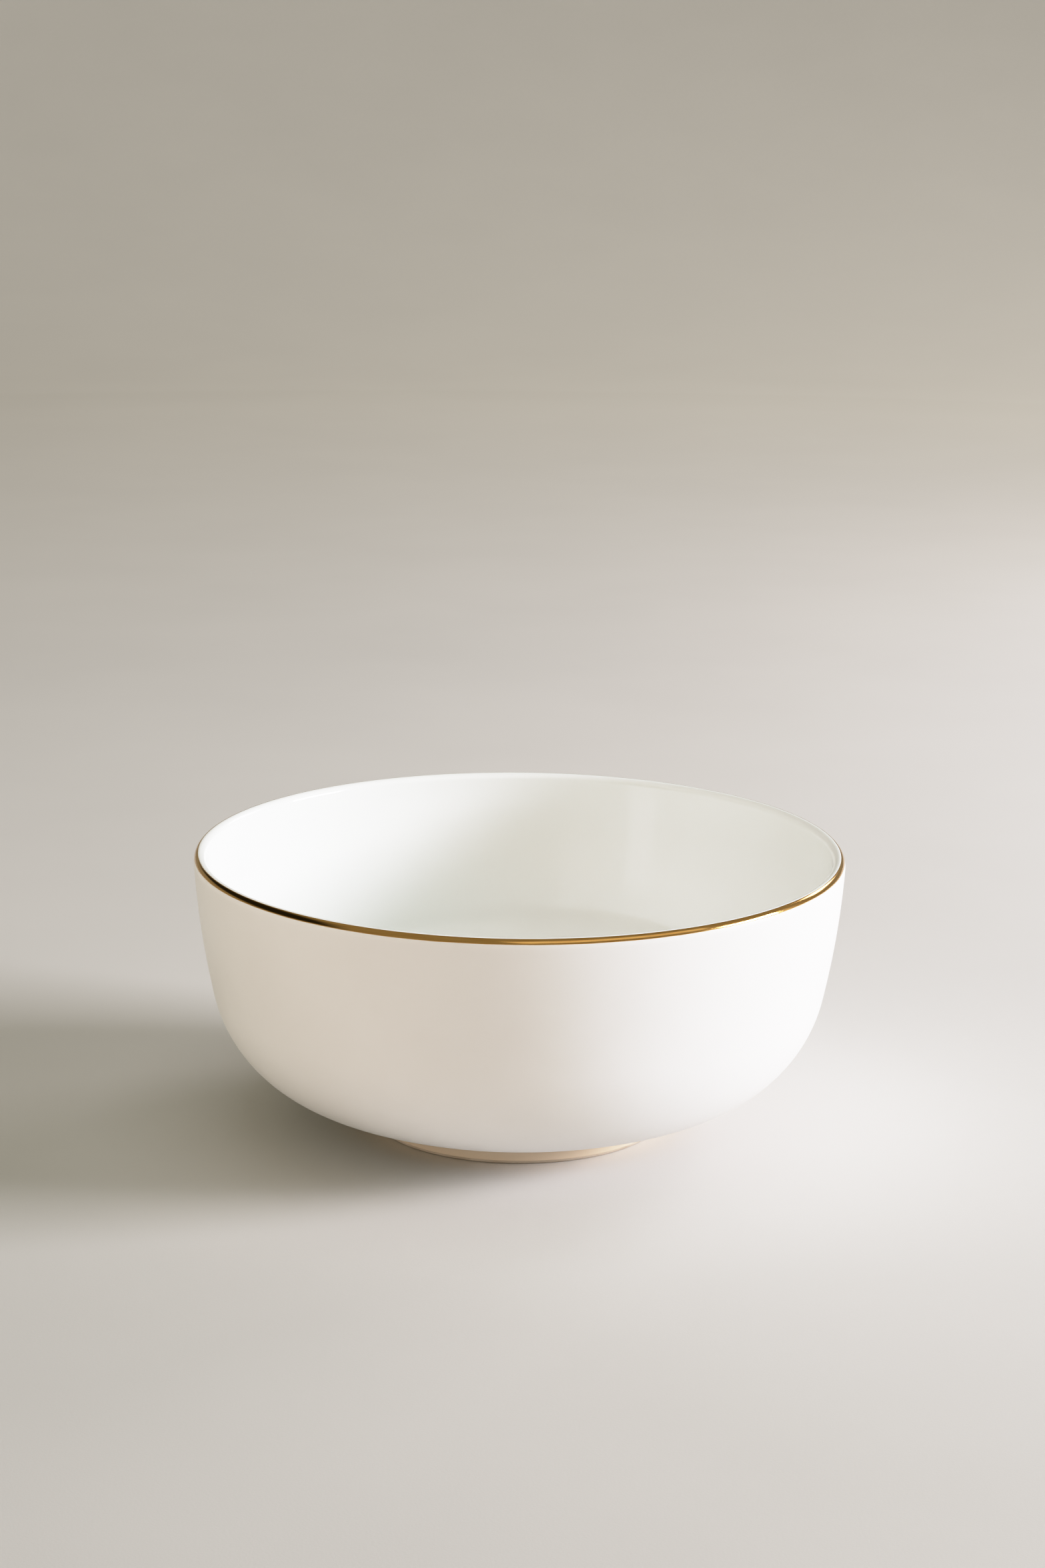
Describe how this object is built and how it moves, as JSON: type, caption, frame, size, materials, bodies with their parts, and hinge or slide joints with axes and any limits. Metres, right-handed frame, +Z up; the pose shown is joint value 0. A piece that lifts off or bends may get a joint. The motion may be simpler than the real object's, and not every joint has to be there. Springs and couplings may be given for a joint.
{
  "type": "porcelain serving bowl",
  "caption": "Round, deep serving bowl on a low foot ring, gloss inside and satin outside, with a thin gilt band on the rim.",
  "frame": {"origin": "on the table plane, under the middle of the foot ring", "axes": "+Z up along the bowl's turning axis, out of its mouth; X and Y are equal because the bowl is round"},
  "size_m": [0.23, 0.23, 0.0995],
  "materials": {
    "fired_porcelain": "matte",
    "bare_porcelain": "matte",
    "gloss_glaze": "gloss",
    "satin_glaze": "satin",
    "gilding": "polished"
  },
  "bodies": {
    "root": {"porcelain_shell": "fired_porcelain", "foot_ring": "bare_porcelain", "inner_glaze": "gloss_glaze", "outer_glaze": "satin_glaze", "underside_glaze": "satin_glaze", "gilt_rim": "gilding"}
  },
  "joints": []
}
